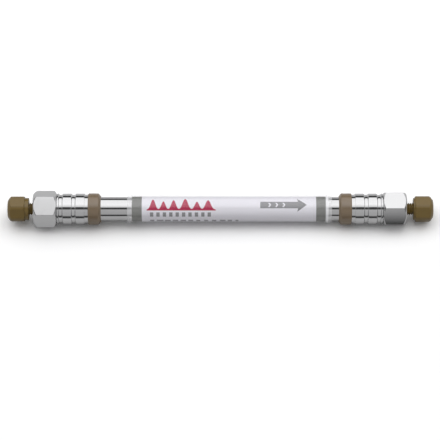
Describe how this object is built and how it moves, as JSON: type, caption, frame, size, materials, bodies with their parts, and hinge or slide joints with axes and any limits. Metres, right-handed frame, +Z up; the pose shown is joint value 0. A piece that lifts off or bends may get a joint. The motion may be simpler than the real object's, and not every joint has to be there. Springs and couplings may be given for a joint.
{
  "type": "liquid chromatography column",
  "caption": "Steel liquid chromatography column with hexagonal end caps, grooved barrels, a printed label under clear film and screw plugs in both ports.",
  "frame": {"origin": "middle of the body, on the column's axis", "axes": "+X along the axis in the direction of flow, from the inlet to the outlet; +Z up as the column lies, with one flat of the outlet hexagon facing straight down; -Y towards the side that shows the label's arrow"},
  "size_m": [0.1679, 0.0146, 0.0146],
  "materials": {
    "polished_steel": "polished",
    "sintered_steel": "matte",
    "brown_peek": "satin",
    "tan_peek": "satin",
    "label_paper": "satin",
    "clear_film": "gloss",
    "silica": "matte"
  },
  "bodies": {
    "column": {"column_tube": "polished_steel", "packed_bed": "silica", "label_wrap": "label_paper", "clear_sleeve": "clear_film", "inlet_end_cap": "polished_steel", "inlet_coupling_nut": "polished_steel", "inlet_lock_ring": "tan_peek", "inlet_split_ring_upper": "polished_steel", "inlet_split_ring_lower": "polished_steel", "inlet_frit": "sintered_steel", "inlet_frit_seal": "tan_peek", "outlet_end_cap": "polished_steel", "outlet_coupling_nut": "polished_steel", "outlet_lock_ring": "tan_peek", "outlet_split_ring_upper": "polished_steel", "outlet_split_ring_lower": "polished_steel", "outlet_frit": "sintered_steel", "outlet_frit_seal": "tan_peek"},
    "inlet_plug": {"inlet_plug": "brown_peek"},
    "outlet_plug": {"outlet_plug": "brown_peek"}
  },
  "joints": [
    {"name": "inlet_plug_out", "type": "slide", "parent": "column", "child": "inlet_plug", "axis": [-1, 0, 0], "range_m": [0, 0.012]},
    {"name": "outlet_plug_out", "type": "slide", "parent": "column", "child": "outlet_plug", "axis": [1, 0, 0], "range_m": [0, 0.012]}
  ]
}
